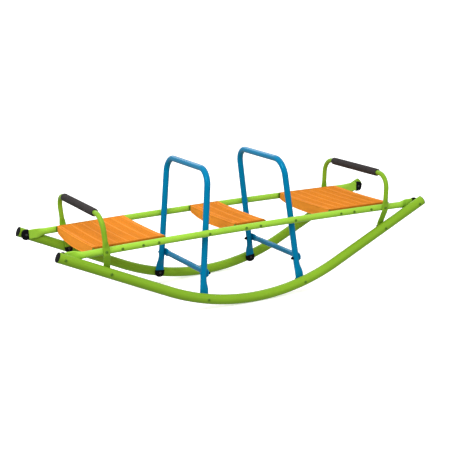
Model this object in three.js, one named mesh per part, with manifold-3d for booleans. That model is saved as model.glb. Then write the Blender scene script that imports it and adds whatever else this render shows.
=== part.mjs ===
// A rocking seesaw for children: two bent rocker tubes, two side rails, two hoops, two handles and three fabric seats.
// Millimetres. +X runs along the length, +Y across it, +Z up. The floor is z = 0, under the middle of the rockers.
import * as THREE from "three";
import { mergeVertices } from "three/addons/utils/BufferGeometryUtils.js";
import Module from "manifold-3d";

const wasm = await Module();
wasm.setup();

// Driving dimensions

const GAP = 0.3; // clearance between touching pieces
const WALL = 1.3; // of every steel tube
const FLAT = 6; // thickness of a tube end pressed flat

const ROCKER_DIAMETER = 38.1;
const ROCKER_Y = 227; // centre line, each side
const ROCKER_RADIUS = 845; // of the middle arc's centre line
const ROCKER_ANGLE = 25; // degrees, the slope of the straight ends
const ROCKER_TIP_X = 771;

const RAIL_DIAMETER = 25.4;
const RAIL_MID_Z = 289.5; // centre line at the middle of the length
const RAIL_BOW = 16.2e-6; // drop per square millimetre of distance from the middle
const RAIL_BOLT_X = 749; // where it is bolted to the rocker
const RAIL_FLARE_X = 668; // where the pressed end begins

const HOOP_DIAMETER = 24;
const HOOP_RAIL_X = 183; // leg where it crosses the rail
const HOOP_LEAN = 0.1033; // inwards in x for each millimetre up
const HOOP_SPLAY = 0.0258; // inwards in y for each millimetre up
const HOOP_TOP_Z = 518;
const HOOP_BEND = 62;
const BRACE_DIAMETER = 22;
const BRACE_Z = 133;

const HANDLE_DIAMETER = 19;
const HANDLE_RAIL_X = 592;
const HANDLE_FOOT_X = 584;
const HANDLE_TOP_X = 602;
const HANDLE_TOP_Z = 415;
const HANDLE_BEND = 56;
const HANDLE_KNEE_RISE = 14; // the leg is straight up to here above its foot bolt
const GRIP_DIAMETER = 31;
const GRIP_LENGTH = 326;

const CAP_WALL = 1.5; // of the plastic caps on the pressed ends
const CAP_MOUTH = 10; // from the bolt to the open end of a cap
const HANDLE_CAP_MOUTH = 6;
const CAP_TIP = 18; // from the bolt to its round end
const PADDLE_TIP = 13; // from the bolt to the cut end of the tube
const PLUG_LENGTH = 16;
const PLUG_FLANGE = 3;

const SLEEVE_WALL = 1.4;
const SLEEVE_ABOVE_RAIL = 3.5;
const SLEEVE_BELOW_CENTRE = 9;
const UPPER_SAG = 5;
const LOWER_SAG = 15;
const STRIP_THICKNESS = 2.8;
const STRIP_HEIGHT = 20;
const STRIP_REACH = 6; // past each cut edge of the sleeve
const END_SEAT_X = [354, 626];
const MIDDLE_SEAT_X = [-62, 62];
const END_STUDS_X = [388, 449, 529, HANDLE_RAIL_X];
const MIDDLE_STUDS_X = [-30.5, 30.5];

const BOLT_SIDES = 6;
const BOLT_RADIUS = 3;
const HOLE_RADIUS = 3.8; // to the corners of a six-sided hole
const HEAD_RADIUS = 5.6;
const HEAD_HEIGHT = 3.2;
const NUT_RADIUS = 5.6;
const NUT_HEIGHT = 5;

// Sizes that follow from them

const ROCKER_R = ROCKER_DIAMETER / 2;
const RAIL_R = RAIL_DIAMETER / 2;
const HOOP_R = HOOP_DIAMETER / 2;
const PADDLE_Y = ROCKER_Y - ROCKER_R - 2 * GAP - CAP_WALL - FLAT / 2; // middle of a pressed end
const RAIL_Y = PADDLE_Y - FLAT / 2 + RAIL_R; // a rail is pressed flat on its inner side
const RAIL_INNER_Y = RAIL_Y - RAIL_R;
const RAIL_OUTER_Y = RAIL_Y + RAIL_R;
const HOOP_RAIL_Y = RAIL_INNER_Y - 3 * GAP - HOOP_R; // the leg leans past the rail
const HANDLE_LEG_Y = RAIL_OUTER_Y + GAP + FLAT / 2;
const SLOPE = THREE.MathUtils.degToRad(ROCKER_ANGLE);
const ARC_HALF = ROCKER_RADIUS * Math.sin(SLOPE);
const ARC_RISE = ROCKER_RADIUS * (1 - Math.cos(SLOPE));

function railZ(x) {
  return RAIL_MID_Z - RAIL_BOW * x * x;
}

function rockerZ(x) {
  const far = Math.abs(x);
  if (far > ARC_HALF) {
    return ROCKER_R + ARC_RISE + (far - ARC_HALF) * Math.tan(SLOPE);
  }
  return ROCKER_R + ROCKER_RADIUS - Math.sqrt(ROCKER_RADIUS ** 2 - far ** 2);
}

const HOOP_RAIL_Z = railZ(HOOP_RAIL_X);

// Centre line of a hoop leg at height z, on the +X, +Y side.
function hoopLeg(z) {
  const up = z - HOOP_RAIL_Z;
  return new THREE.Vector3(HOOP_RAIL_X - HOOP_LEAN * up, HOOP_RAIL_Y - HOOP_SPLAY * up, z);
}

// Materials

function finish(color, roughness, metalness) {
  return new THREE.MeshStandardMaterial({ color, roughness, metalness });
}

const GREEN = finish(0x7cb829, 0.35, 0.1);
const BLUE = finish(0x0f8cc6, 0.35, 0.1);
const ORANGE = finish(0xf58220, 0.85, 0);
const BLACK = finish(0x15151a, 0.5, 0);
const FOAM = finish(0x2c2a2b, 0.95, 0);

// Geometry helpers

// The same surface with shared corners, no empty triangles, and faces that point out.
function closed(geometry) {
  const bare = new THREE.BufferGeometry();
  bare.setAttribute("position", geometry.getAttribute("position"));
  bare.setIndex(geometry.index);
  const merged = mergeVertices(bare, 1e-3);
  const index = merged.index.array;
  const at = merged.getAttribute("position");
  const kept = [];
  const corners = [new THREE.Vector3(), new THREE.Vector3(), new THREE.Vector3()];
  let volume = 0;
  for (let i = 0; i < index.length; i += 3) {
    const [a, b, c] = index.slice(i, i + 3);
    if (a === b || b === c || a === c) {
      continue;
    }
    kept.push(a, b, c);
    corners.forEach((corner, k) => corner.fromBufferAttribute(at, [a, b, c][k]));
    volume += corners[0].dot(corners[1].clone().cross(corners[2]));
  }
  if (volume < 0) {
    kept.reverse();
  }
  merged.setIndex(kept);
  return merged;
}

function toSolid(geometry) {
  const shared = closed(geometry);
  return new wasm.Manifold(
    new wasm.Mesh({
      numProp: 3,
      vertProperties: new Float32Array(shared.getAttribute("position").array),
      triVerts: new Uint32Array(shared.index.array),
    }),
  );
}

function toGeometry(solid) {
  const mesh = solid.getMesh();
  const geometry = new THREE.BufferGeometry();
  geometry.setAttribute("position", new THREE.BufferAttribute(mesh.vertProperties, 3));
  geometry.setIndex(new THREE.BufferAttribute(mesh.triVerts, 1));
  return geometry;
}

// Cuts every piece in tools out of a geometry.
function cut(geometry, tools) {
  let solid = toSolid(geometry);
  for (const tool of tools) {
    solid = solid.subtract(toSolid(tool));
  }
  return toGeometry(solid);
}

// A drill of the bolt clearance radius through two points.
function drill(from, to, radius = HOLE_RADIUS) {
  const drillBody = new THREE.CylinderGeometry(radius, radius, from.distanceTo(to), BOLT_SIDES, 1);
  const turn = new THREE.Quaternion().setFromUnitVectors(
    new THREE.Vector3(0, 1, 0),
    to.clone().sub(from).normalize(),
  );
  drillBody.applyQuaternion(turn);
  const middle = from.clone().add(to).multiplyScalar(0.5);
  return drillBody.translate(middle.x, middle.y, middle.z);
}

// A drill along Y through everything on one side (+1 or -1) of the seesaw.
function crossDrill(x, side, z) {
  return drill(new THREE.Vector3(x, side * 150, z), new THREE.Vector3(x, side * 270, z));
}

// A polygon whose flats touch the circle of this radius.
function roundOutline(radius, sides, into = new THREE.Shape()) {
  const corner = radius / Math.cos(Math.PI / sides);
  for (let i = 0; i < sides; i += 1) {
    const angle = ((i + 0.5) * 2 * Math.PI) / sides;
    const method = i === 0 ? "moveTo" : "lineTo";
    into[method](corner * Math.cos(angle), corner * Math.sin(angle));
  }
  into.closePath();
  return into;
}

function ringOutline(outer, inner, outerSides, innerSides) {
  const shape = roundOutline(outer, outerSides);
  shape.holes.push(roundOutline(inner, innerSides, new THREE.Path()));
  return shape;
}

// Moves a point of a round section to its place when the tube is pressed flat by amount, 0 to 1.
// The perimeter stays the same, so a pressed end is wider than the tube.
function pressed(u, v, radius, amount) {
  const half = FLAT / 2;
  const straight = (Math.PI * (radius - half)) / 2; // half the length of the flat faces
  const turned = Math.atan2(Math.abs(v), Math.abs(u)) / (Math.PI / 2);
  const roundHalf = Math.hypot(u, v) < radius - WALL / 4 ? half - WALL : half; // inner or outer wall
  const along = turned * ((Math.PI * half) / 2 + straight);
  const angle = Math.min(Math.PI / 2, along / half);
  const rest = Math.max(0, along - (Math.PI * half) / 2);
  const flatU = Math.sign(u) * (straight - rest + roundHalf * Math.cos(angle));
  const flatV = Math.sign(v) * roundHalf * Math.sin(angle);
  return [THREE.MathUtils.lerp(u, flatU, amount), THREE.MathUtils.lerp(v, flatV, amount)];
}

// A tube through stations { at, flat, narrow }, hollow, pressed flat where flat is above 0.
// normal is the direction a pressed end is thin in, and offset moves the pressed part that way.
function tube(stations, diameter, normal, { sides = 12, innerSides = 8, offset = 0 } = {}) {
  const radius = diameter / 2;
  const steps = stations.length - 1;
  const outline = ringOutline(radius, radius - WALL, sides, innerSides);
  const geometry = new THREE.ExtrudeGeometry(outline, { depth: steps, steps, bevelEnabled: false });
  const thin = normal.clone();
  const frames = stations.map((station, i) => {
    const before = stations[Math.max(0, i - 1)].at;
    const after = stations[Math.min(steps, i + 1)].at;
    const into = station.at.clone().sub(before).normalize();
    const out = after.clone().sub(station.at).normalize();
    const tangent = into.add(out).normalize();
    thin.addScaledVector(tangent, -thin.dot(tangent)).normalize();
    return { thin: thin.clone(), wide: tangent.clone().cross(thin) };
  });
  const position = geometry.getAttribute("position");
  for (let i = 0; i < position.count; i += 1) {
    const j = Math.round(position.getZ(i));
    const { at, flat = 0, narrow = 1 } = stations[j];
    const [u, v] = pressed(position.getX(i), position.getY(i), radius, flat);
    const point = at.clone();
    point.addScaledVector(frames[j].wide, u * narrow);
    point.addScaledVector(frames[j].thin, v + offset * flat);
    position.setXYZ(i, point.x, point.y, point.z);
  }
  return geometry;
}

// Points of a route with each corner replaced by an arc of its radius.
function rounded(corners) {
  const points = [];
  corners.forEach(({ at, radius = 0, steps = 3, ...rest }, i) => {
    if (!radius) {
      points.push({ at, ...rest });
      return;
    }
    const back = corners[i - 1].at.clone().sub(at).normalize();
    const ahead = corners[i + 1].at.clone().sub(at).normalize();
    const half = back.angleTo(ahead) / 2;
    const reach = radius / Math.tan(half);
    const centre = back.clone().add(ahead).normalize().multiplyScalar(radius / Math.sin(half)).add(at);
    const start = at.clone().addScaledVector(back, reach).sub(centre);
    const turn = Math.PI - 2 * half;
    const axis = back.clone().cross(ahead).normalize().negate();
    for (let k = 0; k <= steps; k += 1) {
      const arm = start.clone().applyAxisAngle(axis, (turn * k) / steps);
      points.push({ at: centre.clone().add(arm), ...rest });
    }
  });
  return points;
}

function mirrored(stations, axis) {
  return stations.map((station) => {
    const at = station.at.clone();
    at[axis] *= -1;
    return { ...station, at };
  });
}

// The group

const seesaw = new THREE.Group();
seesaw.name = "seesaw";

function add(name, geometry, material) {
  const mesh = new THREE.Mesh(closed(geometry), material);
  mesh.name = name;
  seesaw.add(mesh);
  return mesh;
}

const SIDES = [
  ["front", -1],
  ["back", 1],
];
const ENDS = [
  ["left", -1],
  ["right", 1],
];

// A bolt, head at from, with its nut beyond to, as one turned piece.
function bolt(name, from, to, material, nutHeight = NUT_HEIGHT) {
  const length = from.distanceTo(to);
  const profile = [
    [0, -HEAD_HEIGHT],
    [HEAD_RADIUS * 0.7, -HEAD_HEIGHT * 0.8],
    [HEAD_RADIUS, -HEAD_HEIGHT * 0.2],
    [HEAD_RADIUS, 0],
    [BOLT_RADIUS, 0],
    [BOLT_RADIUS, length],
    [NUT_RADIUS, length],
    [NUT_RADIUS, length + nutHeight * 0.7],
    [NUT_RADIUS * 0.6, length + nutHeight],
    [0, length + nutHeight],
  ];
  const body = new THREE.LatheGeometry(
    profile.map(([r, y]) => new THREE.Vector2(r, y)),
    BOLT_SIDES,
  );
  const turn = new THREE.Quaternion().setFromUnitVectors(
    new THREE.Vector3(0, 1, 0),
    to.clone().sub(from).normalize(),
  );
  body.applyQuaternion(turn);
  body.translate(from.x, from.y, from.z);
  add(name, body, material);
}

// A black cap that wraps a pressed tube end: bolt is its centre, up points back along the tube.
function paddleCap(name, centre, up, normal, paddleHalf, mouth = CAP_MOUTH) {
  const halfWidth = paddleHalf + GAP + CAP_WALL;
  const outline = new THREE.Shape();
  outline.moveTo(mouth, -halfWidth);
  outline.lineTo(mouth, halfWidth);
  outline.lineTo(-4, halfWidth);
  for (let i = 1; i < 6; i += 1) {
    const angle = (i * Math.PI) / 6;
    outline.lineTo(-4 - (CAP_TIP - 4) * Math.sin(angle), halfWidth * Math.cos(angle));
  }
  outline.lineTo(-4, -halfWidth);
  outline.closePath();
  const pocket = new THREE.Shape();
  const inner = paddleHalf + GAP;
  pocket.moveTo(mouth + 5, -inner);
  pocket.lineTo(mouth + 5, inner);
  pocket.lineTo(-PADDLE_TIP + 6 - GAP, inner);
  pocket.lineTo(-PADDLE_TIP - GAP, inner * 0.66);
  pocket.lineTo(-PADDLE_TIP - GAP, -inner * 0.66);
  pocket.lineTo(-PADDLE_TIP + 6 - GAP, -inner);
  pocket.closePath();
  const thickness = FLAT + 2 * GAP + 2 * CAP_WALL;
  const body = new THREE.ExtrudeGeometry(outline, { depth: thickness, bevelEnabled: false });
  body.translate(0, 0, -thickness / 2);
  const hollow = new THREE.ExtrudeGeometry(pocket, { depth: FLAT + 2 * GAP, bevelEnabled: false });
  hollow.translate(0, 0, -FLAT / 2 - GAP);
  const hole = drill(new THREE.Vector3(0, 0, -20), new THREE.Vector3(0, 0, 20));
  const cap = cut(body, [hollow, hole]);
  const x = up.clone().normalize();
  const z = normal.clone().addScaledVector(x, -normal.dot(x)).normalize();
  const y = z.clone().cross(x);
  cap.applyMatrix4(new THREE.Matrix4().makeBasis(x, y, z).setPosition(centre));
  add(name, cap, BLACK);
}

function paddleHalfWidth(diameter) {
  return (Math.PI * (diameter / 2 - FLAT / 2)) / 2 + FLAT / 2;
}

// Rocker rails and their end plugs

function rockerStations(y) {
  const half = [];
  const step = SLOPE / 5;
  for (let i = 0; i < 5; i += 1) {
    const angle = (i + 0.5) * step;
    const arm = ROCKER_RADIUS / Math.cos(step / 2);
    half.push({ at: new THREE.Vector3(arm * Math.sin(angle), y, ROCKER_R + ROCKER_RADIUS - arm * Math.cos(angle)) });
  }
  half.push({ at: new THREE.Vector3(ROCKER_TIP_X, y, rockerZ(ROCKER_TIP_X)) });
  return [...mirrored(half, "x").reverse(), ...half];
}

for (const [sideName, side] of SIDES) {
  const stations = rockerStations(side * ROCKER_Y);
  const body = tube(stations, ROCKER_DIAMETER, new THREE.Vector3(0, 1, 0), { sides: 16, innerSides: 10 });
  const drills = [];
  for (const x of [RAIL_BOLT_X, HANDLE_FOOT_X, HOOP_RAIL_X]) {
    const at = x === HOOP_RAIL_X ? hoopFootX() : x;
    drills.push(crossDrill(at, side, rockerZ(at)), crossDrill(-at, side, rockerZ(at)));
  }
  add(`rocker_rail_${sideName}`, cut(body, drills), GREEN);
  for (const [endName, end] of ENDS) {
    const neck = ROCKER_R - WALL - GAP - 0.4;
    const plug = new THREE.LatheGeometry(
      [
        [0, -PLUG_LENGTH],
        [neck, -PLUG_LENGTH],
        [neck, GAP],
        [ROCKER_R, GAP],
        [ROCKER_R, PLUG_FLANGE * 0.6],
        [ROCKER_R - 2.5, PLUG_FLANGE],
        [0, PLUG_FLANGE],
      ].map(([r, y]) => new THREE.Vector2(r, y)),
      12,
    );
    plug.rotateX(Math.PI / 2);
    plug.rotateY(end * (Math.PI / 2 - SLOPE));
    plug.translate(end * ROCKER_TIP_X, side * ROCKER_Y, rockerZ(ROCKER_TIP_X));
    add(`rocker_end_plug_${sideName}_${endName}`, plug, BLACK);
  }
}

// Height and place of a hoop's foot bolt, where the leg's line meets the rocker's.
function hoopFootX() {
  let x = HOOP_RAIL_X;
  for (let i = 0; i < 20; i += 1) {
    x = hoopLeg(rockerZ(x)).x;
  }
  return x;
}

// Side rails and their end caps

function pressedEnd(tipX, zAt, y) {
  const stations = [
    [RAIL_FLARE_X, 0, 1],
    [RAIL_FLARE_X + 22, 0.5, 1],
    [RAIL_FLARE_X + 44, 1, 1],
    [tipX - 6, 1, 1],
    [tipX, 1, 0.66],
  ];
  return stations.map(([x, flat, narrow]) => ({ at: new THREE.Vector3(x, y, zAt(x)), flat, narrow }));
}

for (const [sideName, side] of SIDES) {
  const y = side * RAIL_Y;
  const half = [110, 330, 550].map((x) => ({ at: new THREE.Vector3(x, y, railZ(x)) }));
  half.push(...pressedEnd(RAIL_BOLT_X + PADDLE_TIP, railZ, y));
  const stations = [...mirrored(half, "x").reverse(), ...half];
  const inwards = new THREE.Vector3(0, -side, 0);
  const body = tube(stations, RAIL_DIAMETER, inwards, { offset: RAIL_R - FLAT / 2 });
  const drills = [];
  for (const x of [RAIL_BOLT_X, HOOP_RAIL_X, MIDDLE_STUDS_X[1], ...END_STUDS_X]) {
    const z = x === RAIL_BOLT_X ? rockerZ(x) : railZ(x);
    drills.push(crossDrill(x, side, z), crossDrill(-x, side, z));
  }
  add(`side_rail_${sideName}`, cut(body, drills), GREEN);
  for (const [endName, end] of ENDS) {
    const centre = new THREE.Vector3(end * RAIL_BOLT_X, side * PADDLE_Y, railZ(RAIL_BOLT_X));
    const back = new THREE.Vector3(-end, 0, 2 * RAIL_BOW * RAIL_BOLT_X);
    const halfWidth = paddleHalfWidth(RAIL_DIAMETER);
    paddleCap(`side_rail_cap_${sideName}_${endName}`, centre, back, new THREE.Vector3(0, 1, 0), halfWidth);
  }
}

// Handles, their foam grips and foot caps

for (const [endName, end] of ENDS) {
  const at = (x, y, z) => new THREE.Vector3(end * x, y, z);
  const footZ = rockerZ(HANDLE_FOOT_X);
  const kneeX = HANDLE_FOOT_X + 0.8;
  const leg = [
    { at: at(HANDLE_FOOT_X - 0.8, -PADDLE_Y, footZ - PADDLE_TIP), flat: 1, narrow: 0.66 },
    { at: at(HANDLE_FOOT_X - 0.4, -PADDLE_Y, footZ - PADDLE_TIP + 6), flat: 1 },
    { at: at(kneeX, -PADDLE_Y, footZ + HANDLE_KNEE_RISE), flat: 1, radius: 18, steps: 2 },
    { at: at(HANDLE_RAIL_X - 1, -HANDLE_LEG_Y, railZ(HANDLE_RAIL_X) - 11), flat: 1, radius: 18, steps: 2 },
    { at: at(HANDLE_RAIL_X + 1, -HANDLE_LEG_Y, railZ(HANDLE_RAIL_X) + 14), flat: 1 },
    { at: at(HANDLE_RAIL_X + 2, -HANDLE_LEG_Y, railZ(HANDLE_RAIL_X) + 27), flat: 0.5 },
    { at: at(HANDLE_RAIL_X + 3.2, -HANDLE_LEG_Y, railZ(HANDLE_RAIL_X) + 42), flat: 0 },
  ];
  const top = { at: at(HANDLE_TOP_X, -HANDLE_LEG_Y, HANDLE_TOP_Z), radius: HANDLE_BEND, steps: 5 };
  const route = [...leg, top];
  const stations = rounded([...route, ...mirrored(route, "y").reverse()]);
  const body = tube(stations, HANDLE_DIAMETER, new THREE.Vector3(0, -1, 0), { sides: 10 });
  const drills = SIDES.flatMap(([, side]) => [
    crossDrill(end * HANDLE_FOOT_X, side, footZ),
    crossDrill(end * HANDLE_RAIL_X, side, railZ(HANDLE_RAIL_X)),
  ]);
  add(`handle_${endName}`, cut(body, drills), GREEN);

  const ring = ringOutline(GRIP_DIAMETER / 2, HANDLE_DIAMETER / 2 + GAP + 0.35, 16, 12);
  const grip = new THREE.ExtrudeGeometry(ring, { depth: GRIP_LENGTH, bevelEnabled: false });
  grip.rotateX(Math.PI / 2);
  grip.translate(end * HANDLE_TOP_X, GRIP_LENGTH / 2, HANDLE_TOP_Z);
  add(`foam_grip_${endName}`, grip, FOAM);

  for (const [sideName, side] of SIDES) {
    const centre = at(HANDLE_FOOT_X, side * PADDLE_Y, footZ);
    const up = new THREE.Vector3(end * (kneeX - HANDLE_FOOT_X), 0, HANDLE_KNEE_RISE);
    const halfWidth = paddleHalfWidth(HANDLE_DIAMETER);
    paddleCap(
      `handle_cap_${sideName}_${endName}`,
      centre,
      up,
      new THREE.Vector3(0, 1, 0),
      halfWidth,
      HANDLE_CAP_MOUTH,
    );
  }
}

// Hoops, their foot caps and cross braces

const HOOP_FOOT_X = hoopFootX();
const HOOP_FOOT_Z = rockerZ(HOOP_FOOT_X);
const HOOP_FOOT_OFFSET = PADDLE_Y - hoopLeg(HOOP_FOOT_Z).y; // the foot is pressed towards the rocker
const LEG_UP = new THREE.Vector3(-HOOP_LEAN, -HOOP_SPLAY, 1).normalize();

for (const [endName, end] of ENDS) {
  const leg = [
    [-PADDLE_TIP, 1, 0.66],
    [-PADDLE_TIP + 6, 1, 1],
    [20, 1, 1],
    [40, 0.6, 1],
    [60, 0, 1],
  ].map(([distance, flat, narrow]) => {
    const at = hoopLeg(HOOP_FOOT_Z + distance * LEG_UP.z);
    at.x *= end;
    at.y *= -1;
    return { at, flat, narrow };
  });
  const topAt = hoopLeg(HOOP_TOP_Z);
  const top = { at: new THREE.Vector3(end * topAt.x, -topAt.y, HOOP_TOP_Z), radius: HOOP_BEND, steps: 6 };
  const route = [...leg, top];
  const stations = rounded([...route, ...mirrored(route, "y").reverse()]);
  const body = tube(stations, HOOP_DIAMETER, new THREE.Vector3(0, -1, 0), { offset: HOOP_FOOT_OFFSET });

  const away = new THREE.Vector3(1, 0, end * HOOP_LEAN).normalize(); // square to the legs, towards +X
  const legAt = hoopLeg(BRACE_Z);
  const braceBolts = SIDES.map(([, side]) => new THREE.Vector3(end * legAt.x, side * legAt.y, BRACE_Z));
  const drills = SIDES.flatMap(([, side], i) => [
    crossDrill(end * HOOP_RAIL_X, side, HOOP_RAIL_Z),
    crossDrill(end * HOOP_FOOT_X, side, HOOP_FOOT_Z),
    drill(braceBolts[i].clone().addScaledVector(away, -40), braceBolts[i].clone().addScaledVector(away, 40)),
  ]);
  add(`hoop_${endName}`, cut(body, drills), BLUE);

  const braceShift = away.clone().multiplyScalar(HOOP_R + GAP + FLAT / 2);
  const braceHalf = [
    [legAt.y - 46, 0, 1],
    [legAt.y - 18, 1, 1],
    [legAt.y + 6, 1, 1],
    [legAt.y + 12, 1, 0.6],
  ].map(([y, flat, narrow]) => ({
    at: new THREE.Vector3(end * legAt.x, y, BRACE_Z).add(braceShift),
    flat,
    narrow,
  }));
  const braceRoute = [...mirrored(braceHalf, "y").reverse(), ...braceHalf];
  const brace = tube(braceRoute, BRACE_DIAMETER, away, { sides: 10 });
  const braceDrills = braceBolts.map((at) =>
    drill(at.clone(), at.clone().addScaledVector(away, 40)),
  );
  add(`cross_brace_${endName}`, cut(brace, braceDrills), BLUE);

  for (const [i, [sideName, side]] of SIDES.entries()) {
    const up = new THREE.Vector3(end * LEG_UP.x, side * LEG_UP.y, LEG_UP.z);
    const centre = new THREE.Vector3(end * HOOP_FOOT_X, side * PADDLE_Y, HOOP_FOOT_Z);
    const halfWidth = paddleHalfWidth(HOOP_DIAMETER);
    paddleCap(`hoop_cap_${sideName}_${endName}`, centre, up, new THREE.Vector3(0, 1, 0), halfWidth);

    // The cap nut is on the brace of the left hoop and behind the leg of the right one.
    const legSide = braceBolts[i].clone().addScaledVector(away, -HOOP_R - GAP - 0.3);
    const braceSide = braceBolts[i].clone().addScaledVector(away, HOOP_R + 2 * GAP + FLAT);
    const [headEnd, nutEnd] = end < 0 ? [legSide, braceSide] : [braceSide, legSide];
    bolt(`brace_bolt_${sideName}_${endName}`, headEnd, nutEnd, BLACK, 7);
  }
}

// Bolts that cross the rockers and rails

for (const [sideName, side] of SIDES) {
  for (const [endName, end] of ENDS) {
    const crossBolt = (kind, x, z, outerY, innerY, material) => {
      const head = new THREE.Vector3(end * x, side * outerY, z);
      const nut = new THREE.Vector3(end * x, side * innerY, z);
      bolt(`${kind}_${sideName}_${endName}`, head, nut, material);
    };
    const rockerFace = ROCKER_Y + ROCKER_R + GAP;
    const capFace = PADDLE_Y - FLAT / 2 - 2 * GAP - CAP_WALL;
    const places = [
      ["rail_end_bolt", RAIL_BOLT_X],
      ["handle_foot_bolt", HANDLE_FOOT_X],
      ["hoop_foot_bolt", HOOP_FOOT_X],
    ];
    for (const [kind, x] of places) {
      crossBolt(kind, x, rockerZ(x), rockerFace, capFace - 0.3, GREEN);
    }
    const hoopFace = HOOP_RAIL_Y - HOOP_R - GAP;
    crossBolt("hoop_rail_bolt", HOOP_RAIL_X, HOOP_RAIL_Z, RAIL_OUTER_Y + GAP, hoopFace - 0.5, GREEN);
  }
}

// Seats: closed fabric sleeves stretched between studded strips, which stick out of slots in their ends

const SLEEVE_Y = RAIL_INNER_Y - GAP;
const SLEEVE_TOP = RAIL_R + SLEEVE_ABOVE_RAIL;
const STRIP_Y = SLEEVE_Y - SLEEVE_WALL - GAP - STRIP_THICKNESS / 2;
const STRIP_Z = (SLEEVE_TOP - SLEEVE_BELOW_CENTRE) / 2;

// A closed loop across the frame, its two layers sagging between their sides.
function sleeveLoop(inset) {
  const side = SLEEVE_Y - inset;
  const slack = (y) => 1 - (y / SLEEVE_Y) ** 2;
  const across = 14;
  const loop = [];
  for (let i = 0; i <= across; i += 1) {
    const y = side * (1 - (2 * i) / across);
    loop.push(new THREE.Vector2(y, SLEEVE_TOP - inset - UPPER_SAG * slack(y)));
  }
  for (let i = 0; i <= across; i += 1) {
    const y = side * ((2 * i) / across - 1);
    loop.push(new THREE.Vector2(y, -SLEEVE_BELOW_CENTRE + inset - LOWER_SAG * slack(y)));
  }
  return loop;
}

// A solid block of the sleeve's section, lying along X
function sleeveBlock(inset, length) {
  const outline = new THREE.Shape(sleeveLoop(inset));
  const block = new THREE.ExtrudeGeometry(outline, { depth: length, bevelEnabled: false });
  const lay = new THREE.Matrix4().makeBasis(
    new THREE.Vector3(0, 1, 0),
    new THREE.Vector3(0, 0, 1),
    new THREE.Vector3(1, 0, 0),
  );
  return block.translate(0, 0, -length / 2).applyMatrix4(lay);
}

function seat(name, fromX, toX, studs) {
  const middle = (fromX + toX) / 2;
  const pitch = Math.atan(2 * RAIL_BOW * middle); // the rail's slope there
  const length = toX - fromX;
  const along = (geometry) => geometry.rotateY(pitch).translate(middle, 0, railZ(middle));
  const body = along(sleeveBlock(0, length));
  const holes = [along(sleeveBlock(SLEEVE_WALL, length - 2 * SLEEVE_WALL))];
  for (const [, side] of SIDES) {
    const slot = new THREE.BoxGeometry(length + 2, STRIP_THICKNESS + 2 * GAP, STRIP_HEIGHT + 2 * GAP);
    holes.push(along(slot.translate(0, side * STRIP_Y, STRIP_Z)));
    for (const x of studs) {
      const from = new THREE.Vector3(x, side * (SLEEVE_Y - SLEEVE_WALL - 1), railZ(x));
      const to = new THREE.Vector3(x, side * (SLEEVE_Y + 5), railZ(x));
      holes.push(drill(from, to));
    }
  }
  add(name, cut(body, holes), ORANGE);

  for (const [sideName, side] of SIDES) {
    const strip = new THREE.BoxGeometry(length + 2 * STRIP_REACH, STRIP_THICKNESS, STRIP_HEIGHT);
    let solid = toSolid(along(strip.translate(0, side * STRIP_Y, STRIP_Z)));
    for (const x of studs) {
      const onHandle = Math.abs(x) === HANDLE_RAIL_X;
      const outerY = onHandle ? HANDLE_LEG_Y + FLAT / 2 + GAP : RAIL_OUTER_Y + GAP;
      const shank = drill(
        new THREE.Vector3(x, side * STRIP_Y, railZ(x)),
        new THREE.Vector3(x, side * (outerY + 1), railZ(x)),
        BOLT_RADIUS,
      );
      const head = new THREE.CylinderGeometry(HEAD_RADIUS * 0.72, HEAD_RADIUS, HEAD_HEIGHT, BOLT_SIDES, 1);
      head.rotateX(side > 0 ? 0 : Math.PI);
      head.translate(x, side * (outerY + HEAD_HEIGHT / 2), railZ(x));
      solid = solid.add(toSolid(shank)).add(toSolid(head));
    }
    add(`${name}_studs_${sideName}`, toGeometry(solid), GREEN);
  }
}

seat("seat_left", -END_SEAT_X[1], -END_SEAT_X[0], END_STUDS_X.map((x) => -x));
seat("seat_middle", MIDDLE_SEAT_X[0], MIDDLE_SEAT_X[1], MIDDLE_STUDS_X);
seat("seat_right", END_SEAT_X[0], END_SEAT_X[1], END_STUDS_X);

export default seesaw;
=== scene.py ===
"""A rocking seesaw for children: tubes, fabric seats, grips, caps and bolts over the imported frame."""

import math

import bmesh
import bpy
import numpy as np
from mathutils import Matrix, Vector, noise


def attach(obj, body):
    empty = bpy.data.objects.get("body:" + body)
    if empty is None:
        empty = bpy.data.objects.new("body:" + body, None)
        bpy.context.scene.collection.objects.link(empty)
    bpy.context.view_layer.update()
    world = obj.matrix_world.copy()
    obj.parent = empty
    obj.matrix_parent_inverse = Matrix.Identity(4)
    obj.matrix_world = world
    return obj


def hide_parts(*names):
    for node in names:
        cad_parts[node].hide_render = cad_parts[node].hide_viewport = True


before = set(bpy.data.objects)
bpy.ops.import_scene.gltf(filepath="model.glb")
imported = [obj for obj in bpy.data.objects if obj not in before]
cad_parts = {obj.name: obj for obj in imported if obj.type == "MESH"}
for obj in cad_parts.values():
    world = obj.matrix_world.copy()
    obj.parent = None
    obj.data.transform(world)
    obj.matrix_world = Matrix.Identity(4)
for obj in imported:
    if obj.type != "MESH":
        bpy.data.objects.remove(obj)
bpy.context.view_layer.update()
scene = bpy.context.scene

MM = 0.001
SIDES = (("front", -1), ("back", 1))
ENDS = (("left", -1), ("right", 1))
CORNERS = [(f"{face}_{tip}", side, end) for face, side in SIDES for tip, end in ENDS]

# Driving dimensions, in metres: the frame's, apart from the cloth's sags and flare and the rockers' trim

GAP = 0.3 * MM
FLAT = 6 * MM

ROCKER_R = 19.05 * MM
ROCKER_Y = 227 * MM
ROCKER_RADIUS = 845 * MM
ROCKER_SLOPE = math.radians(25)
ROCKER_TIP_X = 771 * MM
TIP_TRIM = 0.15 * MM  # keeps the plugs inside the frame's length

RAIL_R = 12.7 * MM
RAIL_MID_Z = 289.5 * MM
RAIL_BOW = 0.0162  # drop in metres per square metre of distance from the middle
RAIL_BOLT_X = 749 * MM
RAIL_FLARE = (668 * MM, 712 * MM)

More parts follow.
